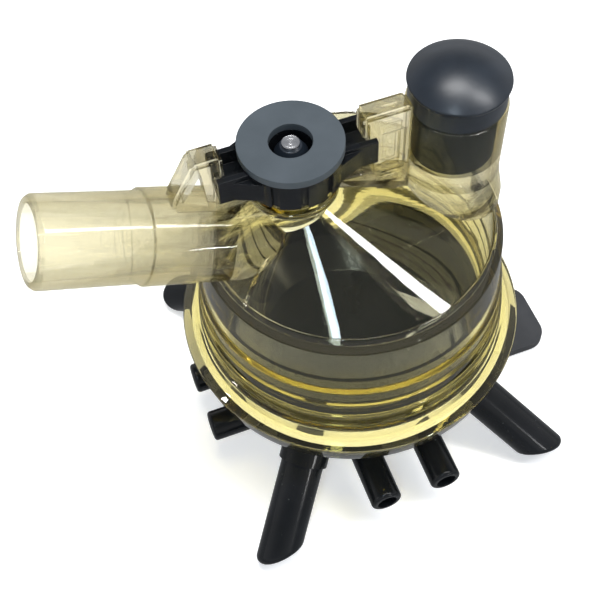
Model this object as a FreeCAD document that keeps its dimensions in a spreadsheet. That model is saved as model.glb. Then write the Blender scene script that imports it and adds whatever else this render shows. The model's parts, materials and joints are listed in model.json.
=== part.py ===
"""Milking claw standing upside down on its four milk inlets.

+Z is up, -X is the outlet side and the origin lies on the floor under the middle of the claw,
so the bowl axis stands at x = axis_x. All lengths are millimetres and live in the sheet "dims".
"""
import FreeCAD, Part
import Sketcher
import math
import os

V = FreeCAD.Vector
os.makedirs("parts", exist_ok=True)
doc = FreeCAD.newDocument("milking_claw")
sheet = doc.addObject("Spreadsheet::Sheet", "dims")

DIMS = {
    # heights are above the flange foot, which stands foot_z above the floor
    "foot_z": 36.9, "axis_x": 8.65,
    # bowl moulding
    "foot_r": 46.0, "belly_r": 47.7, "belly_h": 7.6, "ledge_h": 9.2, "ledge_r": 45.2,
    "step_r": 43.0, "step_h": 11.8, "rib_pitch": 5.1, "rib_step": 0.7, "wall_foot_h": 28.6,
    "wall_r": 40.3, "shoulder_r": 39.5, "shoulder_h": 43.6, "rim_r": 36.9, "rim_h": 46.8,
    "cavity_r": 36.9, "cavity_h": 44.0, "skirt_r": 41.7, "seat_h": 8.8, "split_h": 43.0,
    "cone_top_h": 64.0, "cone_top_r": 6.4, "cone_top_x": 12.24, "roof_drop": 2.8,
    # neck under the valve yoke
    "neck_x": 14.8, "neck_r": 9.5, "neck_bore": 6.4, "neck_foot_h": 56.0, "neck_top_h": 70.8,
    "lip_r": 11.2, "lip_h": 66.2, "lip_thick": 2.0, "gasket_thick": 1.2,
    # outlet
    "out_x": 35.0, "out_h": 56.9, "out_tilt": 22.0, "branch_r": 11.8, "branch_in": 18.0,
    "branch_out": 20.0, "spigot_r": 11.1, "spigot_len": 26.4, "out_bore": 9.0, "spigot_chamfer": 1.1,
    # plugged port
    "port_x": 27.0, "port_r": 12.4, "port_bore": 10.4, "port_top_h": 79.8, "port_foot_h": 44.0,
    "flare_r": 13.9, "flare_h": 50.0, "flare_top_h": 57.0,
    "plug_r": 10.35, "plug_gap": 0.3, "plug_foot_h": 63.3, "cap_r": 11.9, "cap_rim_r": 12.4,
    "cap_rim_h": 86.8, "dome_h": 91.3,
    # hooks that hold the yoke
    "hook_half": 3.0, "post_x": 5.3, "post_end_x": 14.5, "post_top_h": 84.6, "nose_x": 2.2,
    "nose_h": 77.3, "nose_root_h": 75.8, "web_h": 66.8, "recess": 1.2,
    "lug_foot_x": 44.8, "lug_top_x": 38.8, "lug_heel_x": 34.4, "lug_nose_x": 31.7,
    "lug_top_h": 86.0, "lug_nose_h": 78.8,
    # yoke with its hub
    "hub_r": 12.3, "hub_foot_h": 72.0, "hub_top_h": 80.0, "hub_floor_h": 74.0, "well_r": 5.2,
    "arm_half": 5.0, "arm_tall": 7.0, "arm_r_h": 71.5, "arm_l_h": 73.5, "arm_rim": 1.5,
    "arm_floor": 3.1, "arm_r_x": 5.0, "arm_l_x": 34.0, "groove_w": 1.8, "groove_deep": 0.8,
    "groove_pitch": 32.0, "disc_r": 12.6, "disc_thick": 2.0,
    # valve
    "stem_r": 2.1, "stem_fit": 0.06, "stem_foot_h": 60.0, "stem_top_h": 81.5,
    "boot_r": 4.1, "boot_foot_h": 78.2, "boot_top_h": 80.7, "plunger_r": 5.8,
    "plunger_foot_h": 61.0, "plunger_top_h": 66.0,
    # inlet cover and milk inlets
    "cover_r": 41.2, "cover_top_h": 8.0, "cover_step_h": 2.6, "cover_wall_r": 37.5,
    "cover_low_h": 6.0, "cover_cone_r": 26.0, "cover_foot_h": 14.0, "cover_wall": 3.0,
    "inlet_rad": 38.0, "inlet_drop": 13.4, "inlet_tilt": 38.0, "inlet_r": 6.1, "inlet_bore": 4.2,
    "inlet_len": 38.0, "bevel": 40.0, "inlet_az": 45.0, "inlet_az_out": 50.0, "inlet_round": 1.8,
    "inlet_collar_r": 7.0, "inlet_collar": 4.0,
    "seal_r": 39.4, "seal_in": 37.4, "seal_thick": 0.5,
    # pulsation distributor
    "dist_r": 25.5, "dist_top": 15.2, "dist_foot": 31.0, "dist_gasket_r": 24.5,
    "nipple_drop": 21.5, "nipple_r": 4.5, "nipple_bore": 2.9, "nipple_half": 8.7,
    "nipple_long": 47.4, "nipple_short": 49.7, "nipple_round": 1.0, "short_half": 9.1,
    "short_shift": 1.3, "way_root": 8.0, "way_r": 2.3, "bore_root": 26.0,
    "nipple_collar_r": 5.4, "nipple_collar": 28.0,
    # hanging hook and its screw
    "hook_drop": 36.0, "hook_thick": 2.6, "hook_tip_x": 64.6, "hook_w": 11.7, "hook_corner": 6.0,
    "hook_tail": 12.0, "boss_r": 9.0, "screw_r": 2.5, "screw_head_r": 4.6, "screw_head": 0.6,
}
for row, (alias, value) in enumerate(DIMS.items(), 1):
    sheet.set("A%d" % row, alias)
    sheet.set("B%d" % row, str(value))
    sheet.setAlias("B%d" % row, alias)
doc.recompute()
TREE = []


def d(alias):
    """Value of one sheet cell."""
    return float(sheet.get(alias))


def up(alias):
    """Height above the floor of a level given above the flange foot."""
    return d("foot_z") + d(alias)


def bound(text):
    """Turn 'a + b' of bare aliases into a spreadsheet expression."""
    out = []
    for word in text.split():
        out.append("dims." + word if word in DIMS else word)
    return " ".join(out)


def keep(obj, label):
    """Register a finished sub-part under its node name."""
    obj.Label = label
    TREE.append(obj)
    return obj


def shaped(label, shape):
    """A sub-part whose form no parametric feature gives directly, built about the bowl axis."""
    obj = doc.addObject("Part::Feature", "shape_" + label)
    obj.Shape = shape
    obj.setExpression("Placement.Base.x", "dims.axis_x")
    return keep(obj, label)


def turned_body(name, outline, axis_x=None):
    """PartDesign body turned about +Z from a closed outline of (radius, height) expressions."""
    body = doc.addObject("PartDesign::Body", name)
    sketch = body.newObject("Sketcher::SketchObject", name + "_profile")
    plane = [f for f in body.Origin.OriginFeatures if f.Role == "XZ_Plane"][0]
    sketch.AttachmentSupport = [(plane, "")]
    sketch.MapMode = "FlatFace"
    count = len(outline)
    spots = []
    for rad, high in outline:
        x = 0.0 if rad == "0" else sheet_value(rad)
        spots.append(V(x, sheet_value(high), 0))
    for i in range(count):
        sketch.addGeometry(Part.LineSegment(spots[i], spots[(i + 1) % count]), False)
    for i in range(count):
        sketch.addConstraint(Sketcher.Constraint("Coincident", i, 2, (i + 1) % count, 1))
    for i, (rad, high) in enumerate(outline):
        if rad == "0":
            sketch.addConstraint(Sketcher.Constraint("PointOnObject", i, 1, -2))
        else:
            n = sketch.addConstraint(Sketcher.Constraint("DistanceX", -1, 1, i, 1, spots[i].x))
            sketch.setExpression("Constraints[%d]" % n, bound(rad))
        n = sketch.addConstraint(Sketcher.Constraint("DistanceY", -1, 1, i, 1, spots[i].y))
        sketch.setExpression("Constraints[%d]" % n, bound(high))
    doc.recompute()
    turn = body.newObject("PartDesign::Revolution", name + "_turn")
    turn.Profile = sketch
    turn.ReferenceAxis = (sketch, ["V_Axis"])
    turn.Angle = 360.0
    body.Tip = turn
    if axis_x:
        body.setExpression("Placement.Base.x", bound(axis_x))
    doc.recompute()
    return body


def sheet_value(text):
    """Number behind an expression of bare aliases, + and -."""
    total = 0.0
    sign = 1.0
    for word in text.split():
        if word == "-":
            sign = -1.0
        elif word == "+":
            sign = 1.0
        else:
            total += sign * (d(word) if word in DIMS else float(word))
    return total


def spun(points, x=0.0):
    """Solid turned about the vertical axis at x from (radius, height) points."""
    wire = Part.makePolygon([V(r, 0, h) for r, h in points] + [V(points[0][0], 0, points[0][1])])
    solid = Part.Face(wire).revolve(V(0, 0, 0), V(0, 0, 1), 360)
    solid.translate(V(x, 0, 0))
    return solid


def ring_wire(x, high, rad):
    """Horizontal circle on the symmetry plane."""
    return Part.Wire([Part.makeCircle(rad, V(x, 0, high), V(0, 0, 1))])


def oblique_cone(low_h, low_r, high_h, high_r, high_x):
    """Cone whose upper circle is shifted towards -X."""
    return Part.makeLoft([ring_wire(0, low_h, low_r), ring_wire(-high_x, high_h, high_r)], True, True)


def prism_y(points, half, y=0.0):
    """Plate of the given half thickness whose outline lies in the XZ plane."""
    wire = Part.makePolygon([V(x, y - half, z) for x, z in points + points[:1]])
    return Part.Face(wire).extrude(V(0, 2 * half, 0))


# ---- outlet line: a point on the tilted axis, its direction and any point along it
TILT = math.radians(d("out_tilt"))
OUT_DIR = V(-math.cos(TILT), 0, math.sin(TILT))
OUT_ROOT = V(-d("out_x"), 0, up("out_h"))


def out_point(dist):
    """Point on the outlet axis."""
    return OUT_ROOT + OUT_DIR * dist


def bowl_outside():
    """Filled outer form of the bowl: ribbed flange, wall, shoulder, cone roof and neck."""
    z = d("foot_z")
    pts = [(0, z), (d("foot_r"), z), (d("belly_r"), z + d("belly_h"))]
    pts += [(d("ledge_r"), z + d("ledge_h")), (d("step_r"), z + d("step_h"))]
    rad = d("step_r") - d("rib_step")
    high = d("step_h")
    for k in range(3):
        pts.append((rad, z + high + 0.5))
        high += d("rib_pitch")
        pts.append((rad, z + high))
        rad -= d("rib_step") * 0.8
    pts += [(d("wall_r"), z + d("wall_foot_h")), (d("shoulder_r"), z + d("shoulder_h"))]
    pts += [(d("rim_r"), z + d("rim_h")), (0, z + d("rim_h"))]
    form = spun(pts)
    peak = z + d("cone_top_h")
    form = form.fuse(oblique_cone(z + d("rim_h"), d("rim_r"), peak, d("cone_top_r"), d("cone_top_x")))
    low = d("neck_foot_h")
    neck = [(0, z + low), (d("neck_r"), z + low)]
    neck += [(d("neck_r"), z + d("lip_h")), (d("lip_r"), z + d("lip_h"))]
    neck += [(d("lip_r"), z + d("lip_h") + d("lip_thick")), (d("neck_r"), z + d("lip_h") + d("lip_thick"))]
    neck += [(d("neck_r"), z + d("neck_top_h")), (0, z + d("neck_top_h"))]
    return form.fuse(spun(neck, -d("neck_x")))


def bowl_hollow():
    """Milk space: straight wall, cone roof and the neck's bore, open at the foot."""
    z = d("foot_z")
    skirt = Part.makeCylinder(d("skirt_r"), d("seat_h") + 1, V(0, 0, z - 1))
    room = Part.makeCylinder(d("cavity_r"), d("cavity_h") - d("seat_h") + 1, V(0, 0, z + d("seat_h") - 1))
    peak = z + d("cone_top_h") - d("roof_drop")
    roof = oblique_cone(z + d("cavity_h"), d("cavity_r"), peak, d("cone_top_r"), d("cone_top_x"))
    bore_foot = d("neck_foot_h") - 2
    bore_tall = d("neck_top_h") - bore_foot + 1
    bore = Part.makeCylinder(d("neck_bore"), bore_tall, V(-d("neck_x"), 0, z + bore_foot))
    return skirt.fuse(room).fuse(roof).fuse(bore)


OUTSIDE = bowl_outside()
HOLLOW = bowl_hollow()
OUT_BORE = Part.makeCylinder(d("out_bore"), 80, out_point(-d("branch_in") + 2), OUT_DIR)
PORT_BORE = Part.makeCylinder(d("port_bore"), 60, V(d("port_x"), 0, up("port_foot_h") - 4), V(0, 0, 1))


def make_bowl():
    """Clear bowl in two nodes: ribbed flange with the wall, and cone roof with the neck."""
    shape = OUTSIDE.cut(HOLLOW).cut(OUT_BORE).cut(PORT_BORE).removeSplitter()
    split = d("foot_z") + d("split_h")
    below = Part.makeCylinder(60, split, V(0, 0, 0))
    shaped("bowl_wall", shape.common(below))
    shaped("bowl_roof", shape.cut(below))


def make_outlet():
    """Outlet branch rising from the roof and the narrower spigot that takes the hose."""
    start = out_point(-d("branch_in"))
    length = d("branch_in") + d("branch_out")
    branch = Part.makeCylinder(d("branch_r"), length, start, OUT_DIR).cut(OUT_BORE).cut(OUTSIDE)
    branch = max(branch.cut(HOLLOW).Solids, key=lambda s: s.Volume)
    shaped("outlet_branch", branch)
    body = doc.addObject("Part::Cylinder", "spigot_body")
    body.setExpression("Radius", "dims.spigot_r")
    body.setExpression("Height", "dims.spigot_len - dims.spigot_chamfer")
    nose = doc.addObject("Part::Cone", "spigot_nose")
    nose.setExpression("Radius1", "dims.spigot_r")
    nose.setExpression("Radius2", "dims.spigot_r - dims.spigot_chamfer * 0.7")
    nose.setExpression("Height", "dims.spigot_chamfer")
    nose.setExpression("Placement.Base.z", "dims.spigot_len - dims.spigot_chamfer")
    both = doc.addObject("Part::Fuse", "spigot_outside")
    both.Base = body
    both.Tool = nose
    bore = doc.addObject("Part::Cylinder", "spigot_bore")
    bore.setExpression("Radius", "dims.out_bore")
    bore.setExpression("Height", "dims.spigot_len + 2")
    bore.Placement.Base = V(0, 0, -1)
    cut = doc.addObject("Part::Cut", "spigot_cut")
    cut.Base = both
    cut.Tool = bore
    seat = out_point(d("branch_out")) + V(d("axis_x"), 0, 0)
    cut.Placement = FreeCAD.Placement(seat, FreeCAD.Rotation(V(0, 0, 1), OUT_DIR))
    keep(cut, "outlet_spigot")
    return branch


def make_port():
    """Upright port tube that flares where it meets the roof."""
    z = d("foot_z")
    pts = [(0, z + d("port_foot_h")), (d("flare_r"), z + d("port_foot_h"))]
    pts += [(d("flare_r"), z + d("flare_h"))]
    pts += [(d("port_r") + 0.8, z + d("flare_h") + 4), (d("port_r"), z + d("flare_top_h"))]
    pts += [(d("port_r"), z + d("port_top_h")), (0, z + d("port_top_h"))]
    form = spun(pts, d("port_x"))
    form = form.common(Part.makeCylinder(d("shoulder_r"), 60, V(0, 0, z + d("port_foot_h"))))
    form = form.cut(OUTSIDE).cut(PORT_BORE)
    form = max(form.Solids, key=lambda s: s.Volume)
    shaped("port_tube", form)
    return form


def make_hooks(branch, port):
    """Web, right hook post and left triangular hook, all on the symmetry plane."""
    z = d("foot_z")
    half = d("hook_half")
    web = [(-d("neck_x") + 4, z + 50), (d("port_x"), z + 44), (d("port_x"), z + d("web_h") - 4)]
    web += [(d("post_x"), z + d("web_h") - 2.4), (-d("neck_x") + 4, z + d("web_h"))]
    solid = prism_y(web, half - 0.6).cut(OUTSIDE)
    neck = Part.makeCylinder(d("lip_r") + 0.01, 40, V(-d("neck_x"), 0, z + 40))
    solid = solid.cut(neck).cut(Part.makeCylinder(d("port_r"), 60, V(d("port_x"), 0, z + 40)))
    solid = solid.cut(port).cut(HOLLOW)
    web_solid = max(solid.Solids, key=lambda s: s.Volume)
    shaped("hook_web", web_solid)
    top = z + d("post_top_h")
    root = z + d("web_h") - 10
    post = [(d("post_x"), root), (d("post_end_x"), root), (d("post_end_x"), top - 0.8)]
    post += [(d("post_end_x") - 0.8, top), (d("nose_x") + 0.8, top), (d("nose_x"), top - 0.8)]
    post += [(d("nose_x"), z + d("nose_h")), (d("post_x") - 0.4, z + d("nose_root_h"))]
    post += [(d("post_x"), z + d("nose_root_h") - 0.6)]
    solid = prism_y(post, half).cut(web_solid).cut(OUTSIDE).cut(port)
    solid = max(solid.Solids, key=lambda s: s.Volume)
    left = d("post_x") + 1.8
    right = d("post_end_x") - 1.8
    window = [(left, z + 64.6), (right, z + 64.6), (right, z + 78.0), (left, z + 78.0)]
    notch = [(left + 0.8, z + 60.4), (right - 1.6, z + 60.4)]
    notch += [(right - 1.6, z + 62.6), (left + 0.8, z + 62.6)]
    for side in (-1, 1):
        for outline in (window, notch):
            solid = solid.cut(prism_y(outline, d("recess"), side * half))
    shaped("hook_post", max(solid.Solids, key=lambda s: s.Volume))
    top = z + d("lug_top_h")
    lug = [(-d("lug_foot_x"), z + 70), (-d("lug_foot_x"), z + 75.2), (-d("lug_top_x"), top - 1.5)]
    lug += [(-d("lug_top_x") + 1.5, top), (-d("lug_nose_x") - 1, top), (-d("lug_nose_x"), top - 1.2)]
    lug += [(-d("lug_nose_x"), z + d("lug_nose_h")), (-d("lug_heel_x"), z + d("lug_nose_h"))]
    lug += [(-d("lug_heel_x") + 0.1, z + 66)]
    hole = [(-d("lug_foot_x") + 2.6, z + 75.4), (-d("lug_heel_x") - 2.0, z + 71.8)]
    hole += [(-d("lug_heel_x") - 2.6, z + 82.2), (-d("lug_top_x") + 1.4, z + 82.6)]
    tube_room = Part.makeCylinder(d("branch_r"), 60, out_point(-d("branch_in")), OUT_DIR)
    solid = prism_y(lug, half + 0.2).cut(prism_y(hole, half + 2)).cut(tube_room)
    shaped("hook_lug", max(solid.Solids, key=lambda s: s.Volume))


def make_yoke():
    """Black yoke: round hub with finger grooves and two channel arms under the hooks."""
    z = d("foot_z")
    hub_x = -d("neck_x")
    foot = z + d("hub_foot_h")
    hub = Part.makeCylinder(d("hub_r"), d("hub_top_h") - d("hub_foot_h"), V(hub_x, 0, foot))
    half = d("arm_half")
    for low_h, x0, x1 in (("arm_r_h", hub_x, d("arm_r_x")), ("arm_l_h", -d("arm_l_x"), hub_x)):
        arm = Part.makeBox(x1 - x0, 2 * half, d("arm_tall"), V(x0, -half, z + d(low_h)))
        rim = d("arm_rim")
        floor = z + d(low_h) + d("arm_floor")
        arm = arm.cut(Part.makeBox(x1 - x0 + 2, 2 * (half - rim), 20, V(x0 - 1, rim - half, floor)))
        hub = hub.fuse(arm)
        sign = 1 if x0 == hub_x else -1
        reach = d("hub_r") + 3.4
        for side in (-1, 1):
            gusset = [V(hub_x + sign * 8.0, side * (half + 3.6), 0), V(hub_x + sign * reach, side * half, 0)]
            gusset += [V(hub_x + sign * 6.0, side * half, 0), V(hub_x + sign * 8.0, side * (half + 3.6), 0)]
            tall = min(d("hub_top_h"), d(low_h) + d("arm_tall")) - max(d("hub_foot_h"), d(low_h)) - 1.0
            wedge = Part.Face(Part.makePolygon(gusset)).extrude(V(0, 0, tall))
            wedge.translate(V(0, 0, z + max(d("hub_foot_h"), d(low_h))))
            hub = hub.fuse(wedge)
    well = Part.makeCylinder(d("well_r"), 20, V(hub_x, 0, z + d("hub_floor_h")))
    hub = hub.cut(well).cut(Part.makeCylinder(d("stem_r") + d("stem_fit"), 20, V(hub_x, 0, foot - 5)))
    over = Part.makeCylinder(d("disc_r") + 0.3, 9, V(hub_x, 0, z + d("hub_top_h")))
    under = Part.makeCylinder(d("neck_r") + 0.3, 9, V(hub_x, 0, foot - 9))
    hub = hub.cut(over).cut(under)
    wide = d("groove_w")
    for base in (-95.5, 95.5):
        for k in (-1, 0, 1):
            corner = V(d("hub_r") - d("groove_deep"), -wide / 2, foot - 0.2)
            cutter = Part.makeBox(d("groove_deep") * 2, wide, 7.4, corner)
            cutter.rotate(V(0, 0, 0), V(0, 0, 1), base + k * d("groove_pitch"))
            cutter.translate(V(hub_x, 0, 0))
            hub = hub.cut(cutter)
    return shaped("yoke", hub.removeSplitter())


def ring_outline(inner, outer, low, high):
    """Outline of a flat ring between two heights given above the floor."""
    return [(inner, low), (outer, low), (outer, high), (inner, high)]


def make_knob_disc():
    """Rubber grip disc on the hub."""
    low = "foot_z + hub_top_h"
    outline = ring_outline("well_r", "disc_r", low, low + " + disc_thick")
    keep(turned_body("disc", outline, "axis_x - neck_x"), "knob_disc")


def make_neck_gasket():
    """Flat ring between the neck's end and the hub."""
    low = "foot_z + neck_top_h"
    outline = ring_outline("neck_bore", "neck_r", low, low + " + gasket_thick")
    keep(turned_body("gasket", outline, "axis_x - neck_x"), "neck_gasket")


def make_stem():
    """Steel valve stem through the hub."""
    stem = doc.addObject("Part::Cylinder", "stem")
    stem.setExpression("Radius", "dims.stem_r")
    stem.setExpression("Height", "dims.stem_top_h - dims.stem_foot_h")
    stem.setExpression("Placement.Base.x", "dims.axis_x - dims.neck_x")
    stem.setExpression("Placement.Base.z", "dims.foot_z + dims.stem_foot_h")
    keep(stem, "valve_stem")


def make_boot():
    """Small rubber cone around the stem's upper end."""
    low = "foot_z + boot_foot_h"
    high = "foot_z + boot_top_h"
    outline = [("stem_r", low), ("boot_r", low), ("stem_r + 0.5", high), ("stem_r", high)]
    keep(turned_body("boot", outline, "axis_x - neck_x"), "stem_boot")


def make_plunger():
    """Rubber seat at the stem's lower end, bevelled below."""
    low = "foot_z + plunger_foot_h"
    high = "foot_z + plunger_top_h"
    outline = [("stem_r", low), ("plunger_r - 2", low), ("plunger_r", low + " + 2")]
    outline += [("plunger_r", high), ("stem_r", high)]
    keep(turned_body("plunger", outline, "axis_x - neck_x"), "valve_plunger")


def make_plug():
    """Rubber plug: stem in the port, shoulder over the tube's end and domed head."""
    z = d("foot_z")
    x = d("port_x")
    rim = z + d("cap_rim_h")
    rise = d("dome_h") - d("cap_rim_h")
    rad = d("cap_rim_r")
    low = z + d("plug_foot_h")
    sole = z + d("port_top_h") + d("plug_gap")
    outline = [(0, low), (d("plug_r") - 0.6, low), (d("plug_r"), low + 0.6), (d("plug_r"), sole)]
    outline += [(d("cap_r"), sole), (d("cap_r"), rim - 1.3), (rad - 0.15, rim - 1.0)]
    outline += [(rad, rim - 0.4), (rad - 0.1, rim)]
    spots = [V(x + r, 0, h) for r, h in outline]
    top = V(x, 0, rim + rise)
    edge = rad - 0.1
    ball = (edge * edge + rise * rise) / (2 * rise)
    half = math.asin(edge / ball) / 2
    middle = V(x + ball * math.sin(half), 0, rim + rise - ball + ball * math.cos(half))
    edges = [Part.LineSegment(a, b).toShape() for a, b in zip(spots, spots[1:])]
    edges.append(Part.Arc(spots[-1], middle, top).toShape())
    edges.append(Part.LineSegment(top, spots[0]).toShape())
    plug = Part.Face(Part.Wire(edges)).revolve(V(x, 0, 0), V(0, 0, 1), 360)
    return shaped("port_plug", plug)


def inlet_line(azimuth):
    """A point on a milk inlet's axis and its outward, downward direction."""
    a = math.radians(azimuth)
    t = math.radians(d("inlet_tilt"))
    point = V(d("inlet_rad") * math.cos(a), d("inlet_rad") * math.sin(a), d("foot_z") - d("inlet_drop"))
    return point, V(math.cos(a) * math.cos(t), math.sin(a) * math.cos(t), -math.sin(t))


def make_cover():
    """Black inlet cover: a dish under the bowl with four slanted milk ways."""
    z = d("foot_z")
    wall = d("cover_wall")
    out = [(0, z - d("cover_foot_h")), (d("cover_cone_r"), z - d("cover_foot_h"))]
    out += [(d("cover_wall_r"), z - d("cover_low_h")), (d("cover_wall_r"), z + d("cover_step_h"))]
    out += [(d("cover_r"), z + d("cover_step_h")), (d("cover_r"), z + d("cover_top_h"))]
    out += [(0, z + d("cover_top_h"))]
    solid = spun(out)
    dish = [(0, z - d("cover_foot_h") + wall), (d("cover_cone_r") - 1, z - d("cover_foot_h") + wall)]
    inner = d("cover_wall_r") - wall
    dish += [(inner, z - d("cover_low_h") + 1.4), (inner, z + d("cover_top_h") + 1)]
    dish += [(0, z + d("cover_top_h") + 1)]
    cover = solid.cut(spun(dish))
    tubes = []
    near = d("inlet_az")
    far = 180 - d("inlet_az_out")
    azimuths = [near, far, -far, -near]
    for k in range(4):
        point, along = inlet_line(azimuths[k])
        bore = Part.makeCylinder(d("inlet_bore"), 60, point - along * 16, along)
        cover = cover.cut(bore)
        tubes.append((k, point, along, bore))
    shaped("inlet_cover", cover.removeSplitter())
    for k, point, along, bore in tubes:
        make_inlet(k, point, along, bore, solid)


def bevelled_rod(point, along, length):
    """Round rod cut at a slant on its side towards the next inlet of its pair, edge rounded."""
    side = -1.0 if point.x > 0 else 1.0
    lean = V(side, 0, 0) - along * (V(side, 0, 0) * along)
    lean.normalize()
    t = math.radians(d("bevel"))
    normal = along * math.cos(t) + lean * math.sin(t)
    tip = point + along * length - lean * d("inlet_r")
    rod = Part.makeCylinder(d("inlet_r"), 20 + length, point - along * 20, along)
    rod = rod.cut(Part.makeCylinder(60, 60, tip, normal))
    rim = [e for e in rod.Edges if abs((e.CenterOfMass - tip) * normal) < 0.01]
    return rod.makeFillet(d("inlet_round"), rim)


def make_inlet(k, point, along, bore, solid):
    """Milk inlet, its length set so that the rounded tip stands on the floor."""
    rod = bevelled_rod(point, along, d("inlet_len"))
    spare = rod.optimalBoundingBox(True, False).ZMin / -along.z
    rod = bevelled_rod(point, along, d("inlet_len") + spare)
    collar = Part.makeCylinder(d("inlet_collar_r"), 20 + d("inlet_collar"), point - along * 20, along)
    shape = rod.fuse(collar).cut(bore).cut(solid)
    shaped("milk_inlet_%d" % (k + 1), max(shape.Solids, key=lambda s: s.Volume))


def make_distributor():
    """Pulsation distributor with two long and four short air nipples, and its gasket."""
    z = d("foot_z")
    high = z - d("nipple_drop")
    outline = ring_outline("0", "dist_gasket_r", "foot_z - dist_top", "foot_z - cover_foot_h")
    gasket = turned_body("dist_gasket", outline, "axis_x")
    keep(gasket, "distributor_gasket")
    foot = z - d("dist_foot")
    roof = z - d("dist_top")
    rad = d("dist_r")
    core = spun([(0, foot), (rad - 1.5, foot), (rad, foot + 1.5), (rad, roof), (0, roof)])
    lines = []
    for y in (-d("nipple_half"), d("nipple_half")):
        lines.append(("long_pulse_nipple", V(0, y, high), V(-1, 0, 0), d("nipple_long")))
    for way in (-1, 1):
        for x in (d("short_shift") - d("short_half"), d("short_shift") + d("short_half")):
            lines.append(("short_pulse_nipple", V(x, 0, high), V(0, way, 0), d("nipple_short")))
    count = {}
    whole = core.copy()
    for name, base, along, reach in lines:
        way_in = Part.makeCylinder(d("way_r"), 60, base + along * d("way_root"), along)
        core = core.cut(way_in)
        bore = Part.makeCylinder(d("nipple_bore"), 60, base + along * d("bore_root"), along)
        count[name] = count.get(name, 0) + 1
        rod = Part.makeCylinder(d("nipple_r"), reach, base, along)
        far = [e for e in rod.Edges if abs((e.CenterOfMass - base) * along - reach) < 0.01]
        tip = [e for e in far if len(e.Vertexes) == 1]
        rod = rod.makeFillet(d("nipple_round"), tip)
        collar = Part.makeCylinder(d("nipple_collar_r"), d("nipple_collar"), base, along)
        rod = rod.fuse(collar).cut(whole).cut(way_in).cut(bore)
        shaped("%s_%d" % (name, count[name]), max(rod.Solids, key=lambda s: s.Volume))
    hole = Part.makeCylinder(d("screw_r"), 10, V(0, 0, z - d("dist_foot") - 1))
    shaped("pulsation_distributor", core.cut(hole).removeSplitter())


def make_hanger():
    """Hanging hook plate that reaches out opposite the outlet, and the screw that holds it."""
    low = d("foot_z") - d("hook_drop")
    wide = d("hook_w")
    tip = d("hook_tip_x")
    plate = Part.makeBox(tip + d("hook_tail"), 2 * wide, d("hook_thick"), V(-d("hook_tail"), -wide, low))
    uprights = [e for e in plate.Edges if abs(e.Vertexes[0].Z - e.Vertexes[1].Z) > 1]
    plate = plate.makeFillet(d("hook_corner"), uprights)
    boss_h = d("hook_drop") - d("dist_foot")
    plate = plate.fuse(Part.makeCylinder(d("boss_r"), boss_h, V(0, 0, low)))
    plate = plate.cut(Part.makeCylinder(d("screw_r"), 20, V(0, 0, low - 1)))
    shaped("hanging_hook", plate.removeSplitter())
    head = Part.makeCylinder(d("screw_head_r"), d("screw_head"), V(0, 0, low - d("screw_head")))
    shank = Part.makeCylinder(d("screw_r"), boss_h + 9, V(0, 0, low))
    slot = Part.makeBox(10, 1.0, 0.6, V(-5, -0.5, low - d("screw_head") - 0.3))
    shaped("centre_screw", head.fuse(shank).cut(slot).removeSplitter())


def make_seal():
    """Rubber ring lying on the cover's top, under the bowl's seat."""
    low = "foot_z + cover_top_h"
    high = low + " + seal_thick"
    keep(turned_body("seal", ring_outline("seal_in", "seal_r", low, high), "axis_x"), "bowl_seal")


make_bowl()
BRANCH = make_outlet()
PORT = make_port()
make_hooks(BRANCH, PORT)
make_yoke()
make_knob_disc()
make_neck_gasket()
make_stem()
make_boot()
make_plunger()
make_plug()
make_cover()
make_distributor()
make_hanger()
make_seal()
doc.recompute()
for obj in doc.Objects:
    bad = [word for word in obj.State if word in ("Invalid", "Error")]
    if bad:
        raise RuntimeError("%s is %s" % (obj.Label, bad))
for obj in TREE:
    shape = obj.Shape
    if shape.isNull() or not shape.isValid():
        raise RuntimeError("bad shape in " + obj.Label)
    box = shape.BoundBox
    print("%-24s vol %9.1f solids %d  x %6.1f %6.1f  y %6.1f %6.1f  z %6.1f %6.1f" % (
        obj.Label, shape.Volume, len(shape.Solids), box.XMin, box.XMax, box.YMin, box.YMax, box.ZMin, box.ZMax))
    shape.exportStep("parts/%s.step" % obj.Label)
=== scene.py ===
"""Milking claw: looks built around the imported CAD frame."""
import bpy
import bmesh
import json
import math
from mathutils import Matrix, Vector


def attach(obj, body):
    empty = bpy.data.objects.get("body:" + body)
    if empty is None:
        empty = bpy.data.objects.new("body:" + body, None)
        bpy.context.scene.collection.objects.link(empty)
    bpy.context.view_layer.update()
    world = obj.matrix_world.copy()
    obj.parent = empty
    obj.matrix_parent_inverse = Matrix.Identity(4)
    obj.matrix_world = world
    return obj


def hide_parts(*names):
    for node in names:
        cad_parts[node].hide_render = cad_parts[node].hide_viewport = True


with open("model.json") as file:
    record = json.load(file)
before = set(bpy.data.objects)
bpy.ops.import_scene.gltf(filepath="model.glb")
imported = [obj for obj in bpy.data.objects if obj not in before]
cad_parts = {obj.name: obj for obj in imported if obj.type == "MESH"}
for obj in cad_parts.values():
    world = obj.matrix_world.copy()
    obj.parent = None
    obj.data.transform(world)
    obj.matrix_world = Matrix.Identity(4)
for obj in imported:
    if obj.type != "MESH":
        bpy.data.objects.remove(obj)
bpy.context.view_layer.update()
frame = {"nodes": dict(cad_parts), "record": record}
scene = bpy.context.scene

AXIS_X = 8.65          # bowl axis, mm from the origin
FOOT = 36.9            # flange foot above the floor, mm
NECK_X = -14.8         # neck axis, mm from the bowl axis
PORT_X = 27.0          # port axis, mm from the bowl axis
PORT_BORE = 10.4       # bore radius below the plug
SEATED_BORE = 10.33    # bore radius along the plug, 0.02 mm under the plug's own
TILT = math.radians(22)
SEGS = 180             # sides of a turned shape
# the ribs' heights also bound the painted gold reflection band on the clear plastic
RIBS = (0.046, 0.067)  # heights of the ribs above the floor, m
FADE = 0.01            # margin outside the ribs, m
PASSED = (0.91, 0.893, 0.80, 1)  # tint of light that passes a clear face unbent


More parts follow.
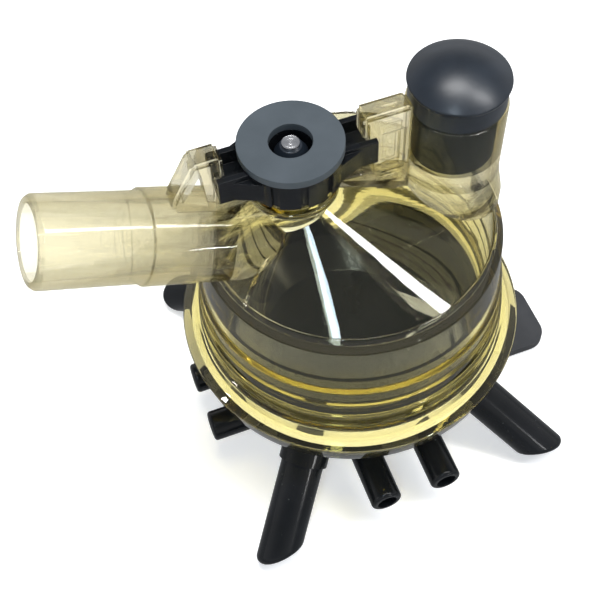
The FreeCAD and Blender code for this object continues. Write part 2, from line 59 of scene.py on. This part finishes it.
# ---------------------------------------------------------------- node materials
def shader(name, base, rough, **sockets):
    """Node material with a Principled shader; returns material, tree and shader node."""
    mat = bpy.data.materials.new(name)
    mat.use_nodes = True
    tree = mat.node_tree
    bsdf = tree.nodes["Principled BSDF"]
    bsdf.inputs["Base Color"].default_value = (*base, 1)
    bsdf.inputs["Roughness"].default_value = rough
    for key, value in sockets.items():
        bsdf.inputs[key.replace("_", " ")].default_value = value
    return mat, tree, bsdf


def noise(tree, scale, detail=4.0, stretch=None, rough=0.5):
    tex = tree.nodes.new("ShaderNodeTexNoise")
    tex.inputs["Scale"].default_value = scale
    tex.inputs["Detail"].default_value = detail
    tex.inputs["Roughness"].default_value = rough
    co = tree.nodes.new("ShaderNodeTexCoord")
    place = tree.nodes.new("ShaderNodeMapping")
    if stretch:
        place.inputs["Scale"].default_value = stretch
    tree.links.new(co.outputs["Object"], place.inputs["Vector"])
    tree.links.new(place.outputs["Vector"], tex.inputs["Vector"])
    return tex.outputs["Fac"]


def ramp(tree, fac, stops):
    node = tree.nodes.new("ShaderNodeValToRGB")
    els = node.color_ramp.elements
    while len(els) < len(stops):
        els.new(0.5)
    for el, (pos, col) in zip(els, stops):
        el.position = pos
        el.color = (*col, 1)
    tree.links.new(fac, node.inputs["Fac"])
    return node.outputs["Color"]


def spread(tree, fac, low, high):
    node = tree.nodes.new("ShaderNodeMapRange")
    node.inputs["To Min"].default_value = low
    node.inputs["To Max"].default_value = high
    tree.links.new(fac, node.inputs["Value"])
    return node.outputs["Result"]


def bump(tree, bsdf, fac, strength, dist, edge=0.0):
    """Surface grain; edge is the radius, in metres, of the softened edges under it."""
    node = tree.nodes.new("ShaderNodeBump")
    node.inputs["Strength"].default_value = strength
    node.inputs["Distance"].default_value = dist
    tree.links.new(fac, node.inputs["Height"])
    if edge:
        soft = tree.nodes.new("ShaderNodeBevel")
        soft.samples = 4
        soft.inputs["Radius"].default_value = edge
        tree.links.new(soft.outputs["Normal"], node.inputs["Normal"])
    tree.links.new(node.outputs["Normal"], bsdf.inputs["Normal"])


def worn(name, dark, light, rough, grain, bumpy, dust=None, edge=0.0003, **sockets):
    """Moulded plastic or rubber: mottled tone, uneven gloss, fine grain and a few pale specks."""
    mat, tree, bsdf = shader(name, dark, sum(rough) / 2, **sockets)
    col = ramp(tree, noise(tree, grain), [(0.3, dark), (0.7, light)])
    if dust:
        mix = tree.nodes.new("ShaderNodeMix")
        mix.data_type = "RGBA"
        spots = ramp(tree, noise(tree, 900, 1.0), [(0.765, (0, 0, 0)), (0.79, (1, 1, 1))])
        tree.links.new(spots, mix.inputs["Factor"])
        tree.links.new(col, mix.inputs["A"])
        mix.inputs["B"].default_value = (*dust, 1)
        col = mix.outputs["Result"]
    tree.links.new(col, bsdf.inputs["Base Color"])
    tree.links.new(spread(tree, noise(tree, grain * 0.4), *rough), bsdf.inputs["Roughness"])
    bump(tree, bsdf, noise(tree, grain * 6, 6.0), bumpy, 0.00005, edge)
    return mat


def height_band(tree, low, high):
    """One between two heights above the floor, in metres, fading to nothing outside."""
    co = tree.nodes.new("ShaderNodeTexCoord")
    parts = tree.nodes.new("ShaderNodeSeparateXYZ")
    tree.links.new(co.outputs["Object"], parts.inputs["Vector"])
    scaled = tree.nodes.new("ShaderNodeMapRange")
    scaled.inputs["From Min"].default_value = low - FADE
    scaled.inputs["From Max"].default_value = high + FADE
    tree.links.new(parts.outputs["Z"], scaled.inputs["Value"])
    edge = FADE / (high - low + 2 * FADE)
    off, on = (0, 0, 0), (1, 1, 1)
    stops = [(edge * 0.7, off), (edge, on), (1 - edge, on), (1 - edge * 0.7, off)]
    return ramp(tree, scaled.outputs["Result"], stops)


def clear(name, tint, painted_rib_reflection, rough, absorb, density, straight):
    """Clear amber plastic, with a painted gold reflection band at the ribs' height.

    absorb and density set the light lost along the way through; straight is the share of light
    that passes a face unbent.
    """
    mat, tree, bsdf = shader(name, tint, rough, Transmission_Weight=1.0, IOR=1.53)
    paler = tuple(min(1, c * 1.03) for c in tint)
    mix = tree.nodes.new("ShaderNodeMix")
    mix.data_type = "RGBA"
    # painted reflection: at the ribs' height the colour turns a paler gold, standing in for light reflected
    # in the ribs
    tree.links.new(height_band(tree, *RIBS), mix.inputs["Factor"])
    tree.links.new(ramp(tree, noise(tree, 60), [(0.3, tint), (0.7, paler)]), mix.inputs["A"])
    mix.inputs["B"].default_value = (*painted_rib_reflection, 1)
    tree.links.new(mix.outputs["Result"], bsdf.inputs["Base Color"])
    tree.links.new(spread(tree, noise(tree, 240), rough * 0.4, rough * 1.8), bsdf.inputs["Roughness"])
    bump(tree, bsdf, noise(tree, 70, 3.0, (1, 1, 0.35)), 0.25, 0.00006)
    out = [n for n in tree.nodes if n.type == "OUTPUT_MATERIAL"][0]
    path = tree.nodes.new("ShaderNodeLightPath")
    see = tree.nodes.new("ShaderNodeBsdfTransparent")
    see.inputs["Color"].default_value = PASSED
    mix = tree.nodes.new("ShaderNodeMixShader")
    share = tree.nodes.new("ShaderNodeMath")
    share.operation = "MAXIMUM"
    share.inputs[1].default_value = straight
    tree.links.new(path.outputs["Is Shadow Ray"], share.inputs[0])
    tree.links.new(share.outputs["Value"], mix.inputs["Fac"])
    tree.links.new(bsdf.outputs["BSDF"], mix.inputs[1])
    tree.links.new(see.outputs["BSDF"], mix.inputs[2])
    tree.links.new(mix.outputs["Shader"], out.inputs["Surface"])
    soak = tree.nodes.new("ShaderNodeVolumeAbsorption")
    soak.inputs["Color"].default_value = (*absorb, 1)
    soak.inputs["Density"].default_value = density
    tree.links.new(soak.outputs["Volume"], out.inputs["Volume"])
    return mat


MATS = {
    # the second colour given to each clear material is its painted gold reflection at the ribs' height
    "clear_amber": clear("clear_amber", (0.97, 0.965, 0.93), (1.0, 0.955, 0.70), 0.02,
                         (0.77, 0.69, 0.1), 108, 0.06),
    "clear_tubes": clear("clear_tubes", (0.93, 0.92, 0.87), (0.97, 0.95, 0.85), 0.02,
                         (0.70, 0.62, 0.3), 90, 0.5),
    "black_gloss": worn("black_gloss", (0.005, 0.006, 0.007), (0.009, 0.010, 0.012), (0.08, 0.2), 90, 0.12,
                        dust=(0.04, 0.045, 0.045), Specular_IOR_Level=0.22),
    "black_matte": worn("black_matte", (0.02, 0.022, 0.026), (0.035, 0.037, 0.042), (0.4, 0.6), 120, 0.3),
    "rubber_grey": worn("rubber_grey", (0.046, 0.06, 0.071), (0.058, 0.073, 0.086), (0.55, 0.75), 140, 0.4),
    "rubber_black": worn("rubber_black", (0.009, 0.013, 0.019), (0.016, 0.022, 0.031), (0.26, 0.4),
                         120, 0.25),
    "steel": worn("steel", (0.62, 0.62, 0.63), (0.72, 0.72, 0.73), (0.18, 0.3), 300, 0.3, edge=0.0002,
                  Metallic=1.0),
}


def turned(mat, x, pitch):
    """Concentric tool marks about the upright line at that x, in metres."""
    tree = mat.node_tree
    bsdf = tree.nodes["Principled BSDF"]
    co = tree.nodes.new("ShaderNodeTexCoord")
    place = tree.nodes.new("ShaderNodeMapping")
    place.inputs["Location"].default_value = (-x, 0, 0)
    wave = tree.nodes.new("ShaderNodeTexWave")
    wave.wave_type = "RINGS"
    wave.rings_direction = "Z"
    wave.inputs["Scale"].default_value = 0.314 / pitch
    wave.inputs["Distortion"].default_value = 0.6
    tree.links.new(co.outputs["Object"], place.inputs["Vector"])
    tree.links.new(place.outputs["Vector"], wave.inputs["Vector"])
    bump(tree, bsdf, wave.outputs["Fac"], 0.5, 0.00012)


turned(MATS["steel"], (AXIS_X + NECK_X) / 1000, 0.0009)
SLOT = {s["node"]: s["material_slot"] for s in frame["record"]["subparts"]}
for node, obj in frame["nodes"].items():
    obj.data.materials.clear()
    obj.data.materials.append(MATS[SLOT[node]])


# ---------------------------------------------------------------- mesh helpers, millimetres
def soft(points, radius, steps=4):
    """Outline with its corners rounded; corners on the turning axis stay."""
    out = []
    for i, here in enumerate(points):
        if i in (0, len(points) - 1) and here[0] == 0:
            out.append(here)
            continue
        a, b, c = Vector(points[i - 1]), Vector(here), Vector(points[(i + 1) % len(points)])
        if b[0] == 0:
            out.append(here)
            continue
        cut = min(radius, (a - b).length * 0.45, (c - b).length * 0.45)
        p, q = b + (a - b).normalized() * cut, b + (c - b).normalized() * cut
        for k in range(steps + 1):
            f = k / steps
            out.append(tuple(p * (1 - f) ** 2 + b * 2 * f * (1 - f) + q * f * f))
    return out


def from_bmesh(bm, name):
    """Object made from the bmesh, with both clear materials in its slots."""
    bmesh.ops.recalc_face_normals(bm, faces=bm.faces)
    mesh = bpy.data.meshes.new(name)
    bm.to_mesh(mesh)
    bm.free()
    mesh.materials.append(MATS["clear_amber"])
    mesh.materials.append(MATS["clear_tubes"])
    obj = bpy.data.objects.new(name, mesh)
    scene.collection.objects.link(obj)
    return obj


def loft(name, rings, where=None, cx=0.0, segs=SEGS):
    """Closed skin over rings of (radius, height) or (radius, height, shift in x)."""
    bm = bmesh.new()
    rows = []
    for ring in rings:
        rad, high = ring[0], ring[1]
        x = cx + (ring[2] if len(ring) > 2 else 0.0)
        count = 1 if rad == 0 else segs
        row = []
        for k in range(count):
            a = math.tau * k / segs
            row.append(bm.verts.new((x + rad * math.cos(a), rad * math.sin(a), high)))
        rows.append(row)
    for a, b in zip(rows, rows[1:]):
        for k in range(segs):
            j = (k + 1) % segs
            if len(a) == 1:
                bm.faces.new((a[0], b[k], b[j]))
            elif len(b) == 1:
                bm.faces.new((a[k], a[j], b[0]))
            else:
                bm.faces.new((a[k], a[j], b[j], b[k]))
    obj = from_bmesh(bm, name)
    base = Matrix.Translation((AXIS_X, 0, FOOT))
    obj.data.transform(Matrix.Scale(0.001, 4) @ base @ (where or Matrix.Identity(4)))
    return obj


def plate(name, outline, half, round_mm=0.5, y=0.0):
    """Flat piece whose outline lies in the XZ plane, with rounded edges all round."""
    bm = bmesh.new()
    front = [bm.verts.new((x, y - half, z)) for x, z in outline]
    back = [bm.verts.new((x, y + half, z)) for x, z in outline]
    n = len(outline)
    bm.faces.new(front)
    bm.faces.new(back[::-1])
    for k in range(n):
        bm.faces.new((front[k], back[k], back[(k + 1) % n], front[(k + 1) % n]))
    if round_mm:
        bmesh.ops.bevel(bm, geom=bm.edges[:], offset=round_mm, segments=3, affect="EDGES",
                        clamp_overlap=True)
    obj = from_bmesh(bm, name)
    obj.data.transform(Matrix.Scale(0.001, 4) @ Matrix.Translation((AXIS_X, 0, FOOT)))
    return obj


def combine(obj, others, how):
    """Boolean of obj with each of the others, which are used up."""
    for other in others:
        mod = obj.modifiers.new("join", "BOOLEAN")
        mod.operation = how
        mod.solver = "MANIFOLD"
        mod.object = other
        deps = bpy.context.evaluated_depsgraph_get()
        mesh = bpy.data.meshes.new_from_object(obj.evaluated_get(deps))
        obj.modifiers.clear()
        obj.data = mesh
        bpy.data.objects.remove(other)
    return obj


def finish_surface(obj, body, angle=28):
    """Smooth shading with sharp corners kept, then the ride."""
    obj.data.shade_smooth()
    obj.data.set_sharp_from_angle(angle=math.radians(angle))
    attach(obj, body)


def second_material(pieces):
    """Puts the pieces' faces on clear_tubes, the second of their two material slots."""
    for piece in pieces:
        for face in piece.data.polygons:
            face.material_index = 1


ALONG = Matrix.Translation((-35.0, 0, 56.9)) @ Matrix.Rotation(TILT - math.pi / 2, 4, "Y")


# ---------------------------------------------------------------- clear moulding
def outside_rings():
    rings = [(0, 0), (46.0, 0), (47.7, 7.6), (45.2, 9.2), (43.0, 11.8)]
    rad, high = 42.3, 12.3
    for _ in range(3):
        rings += [(rad, high), (rad, high + 4.6)]
        rad -= 0.56
        high += 5.1
    rings += [(40.3, 28.6), (39.5, 43.6), (36.9, 46.8)]
    rings = soft(rings, 0.5)
    return rings + [(6.4, 64.0, -12.24), (0, 64.0, -12.24)]


def hollow_rings():
    rings = soft([(0, -1), (41.7, -1), (41.7, 8.8), (36.9, 8.8), (36.9, 44.0)], 0.4)
    return rings + [(6.4, 61.2, -12.24), (0, 61.2, -12.24)]


def moulding():
    """Bowl, outlet, port and hooks as the single clear piece they are."""
    body = loft("clear_moulding", outside_rings())
    lip = [(9.5, 66.2), (11.2, 66.4), (11.2, 68.2), (9.5, 68.4)]
    neck = soft([(0, 56), (10.2, 56), (9.5, 61), *lip, (9.5, 70.8), (0, 70.8)], 0.4)
    neck = loft("neck", neck, cx=NECK_X)
    spout = [(0, -18), (11.8, -18), (11.8, 20), (11.1, 20.3), (11.1, 45.3), (10.35, 46.4), (0, 46.4)]
    outlet = loft("outlet", soft(spout, 0.25), ALONG)
    port = [(0, 44), (13.9, 44), (13.9, 50), (13.1, 53), (12.6, 56), (12.4, 59), (12.4, 79.8), (0, 79.8)]
    port = loft("port", soft(port, 0.6), cx=PORT_X)
    port = combine(port, [loft("port_limit", [(0, 40), (39.45, 40), (39.45, 90), (0, 90)])], "INTERSECT")
    web = plate("web", [(-10.8, 50), (27, 44), (27, 62.8), (5.3, 64.4), (-10.8, 66.8)], 2.4, 0.6)
    post = [(5.3, 56), (14.6, 56), (14.6, 84.6), (2.2, 84.6), (2.2, 77.3), (4.9, 75.8)]
    post = plate("post", post, 3.0, 0.9)
    cuts = (("window", 6.9, 12.9, 64.4, 78.2, 0.7),
            ("slot", 8.1, 11.6, 65.8, 77.0, 1.2),
            ("notch", 7.7, 11.3, 60.2, 62.6, 1.0))
    frames = []
    for side in (-1, 1):
        for name, left, right, low, high, half in cuts:
            outline = [(left, low), (right, low), (right, high), (left, high)]
            frames.append(plate(name, outline, half, 0.2, side * 3.0))
    post = combine(post, frames, "DIFFERENCE")
    lug = [(-44.8, 70), (-44.8, 75.2), (-38.8, 86.0), (-31.7, 86.0), (-31.7, 78.8), (-34.4, 78.8)]
    lug.append((-34.3, 66))
    lug = plate("lug", lug, 3.2, 0.9)
    hole = [(-42.2, 75.4), (-36.4, 71.8), (-37.0, 82.2), (-37.4, 82.6)]
    lug = combine(lug, [plate("lug_hole", hole, 6.0, 0.0)], "DIFFERENCE")
    second_material([outlet, port, web, post, lug])
    combine(body, [neck, outlet, port, web, post, lug], "UNION")
    way_out = loft("way_out", [(0, -16), (8.9, -16), (8.9, 17.2), (9.05, 17.6), (9.05, 60), (0, 60)], ALONG)
    up_port = [(0, 40), (PORT_BORE, 40), (PORT_BORE, 62.9), (SEATED_BORE, 63.9), (SEATED_BORE, 99)]
    up_port = loft("up_port", [*up_port, (0, 99)], cx=PORT_X)
    second_material([way_out, up_port])
    up_neck = loft("up_neck", [(0, 54), (6.4, 54), (6.4, 99), (0, 99)], cx=NECK_X)
    combine(body, [loft("room", hollow_rings()), way_out, up_port, up_neck], "DIFFERENCE")
    finish_surface(body, "bowl_body")
    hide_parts("bowl_wall", "bowl_roof", "outlet_branch", "outlet_spigot", "port_tube", "hook_web",
                "hook_post", "hook_lug")


moulding()

# ---------------------------------------------------------------- floor, light and camera
bpy.ops.mesh.primitive_plane_add(size=6)
floor = bpy.context.object
floor.name = "floor"
white, tree, bsdf = shader("paper", (0.93, 0.93, 0.93), 0.8, Emission_Strength=0.4)
bsdf.inputs["Emission Color"].default_value = (1, 1, 1, 1)
tree.links.new(spread(tree, noise(tree, 400), 0.7, 0.9), bsdf.inputs["Roughness"])
# painted reflection: glossy rays see the floor as a flat grey glow instead of the lit white floor
path = tree.nodes.new("ShaderNodeLightPath")
grey = tree.nodes.new("ShaderNodeEmission")
grey.inputs["Color"].default_value = (0.36, 0.37, 0.38, 1)
mix = tree.nodes.new("ShaderNodeMixShader")
painted_reflection_mask = tree.nodes.new("ShaderNodeMath")
painted_reflection_mask.operation = "SUBTRACT"
painted_reflection_mask.use_clamp = True
tree.links.new(path.outputs["Is Glossy Ray"], painted_reflection_mask.inputs[0])
tree.links.new(path.outputs["Is Transmission Ray"], painted_reflection_mask.inputs[1])
tree.links.new(painted_reflection_mask.outputs["Value"], mix.inputs["Fac"])
tree.links.new(bsdf.outputs["BSDF"], mix.inputs[1])
tree.links.new(grey.outputs["Emission"], mix.inputs[2])
tree.links.new(mix.outputs["Shader"], tree.nodes["Material Output"].inputs["Surface"])
floor.data.materials.append(white)

world = bpy.data.worlds.new("studio")
scene.world = world
world.use_nodes = True
sky = world.node_tree
where = sky.nodes.new("ShaderNodeTexCoord")
parts = sky.nodes.new("ShaderNodeSeparateXYZ")
sky.links.new(where.outputs["Generated"], parts.inputs["Vector"])
glow = ramp(sky, parts.outputs["Z"], [(0.0, (0.75, 0.75, 0.75)), (0.3, (0.72, 0.72, 0.73)),
                                      (0.62, (0.24, 0.25, 0.27)), (1.0, (0.2, 0.21, 0.23))])
sky.links.new(glow, sky.nodes["Background"].inputs["Color"])
sky.nodes["Background"].inputs["Strength"].default_value = 1.0


def lamp(name, azimuth, height, size, power, colour=(1, 1, 1), far=0.9):
    """Area light seen from the bowl's top in that direction, its long side upright."""
    a, e = math.radians(azimuth), math.radians(height)
    way = Vector((math.cos(a) * math.cos(e), math.sin(a) * math.cos(e), math.sin(e)))
    data = bpy.data.lights.new(name, "AREA")
    data.shape = "ELLIPSE"
    data.size, data.size_y = size
    data.energy = power
    data.color = colour
    obj = bpy.data.objects.new(name, data)
    scene.collection.objects.link(obj)
    obj.location = Vector((0, 0, 0.08)) + way * far
    obj.rotation_euler = way.to_track_quat("Z", "Y").to_euler()


lamp("overhead", 60, 86, (0.55, 0.3), 5.5)
lamp("cone_streak", -32, 57, (0.10, 0.5), 3.4)
lamp("tube_streak", -68, 7, (0.10, 0.03), 0.5)
lamp("window", -120, 56, (0.09, 0.3), 1.6, (0.72, 0.86, 1.0))
lamp("left_spot", 175, 27, (0.05, 0.12), 0.5)

cam = bpy.data.cameras.new("photo_camera")
cam.sensor_width = 36
cam.lens = 65.99
eye = bpy.data.objects.new("photo_camera", cam)
scene.collection.objects.link(eye)
eye.location = (-0.065497 + AXIS_X / 1000, -0.16167, 0.270496 + FOOT / 1000)
eye.rotation_euler = [math.radians(a) for a in (33.6515, 1.8188, -20.1739)]
scene.camera = eye
scene.view_settings.view_transform = "Standard"
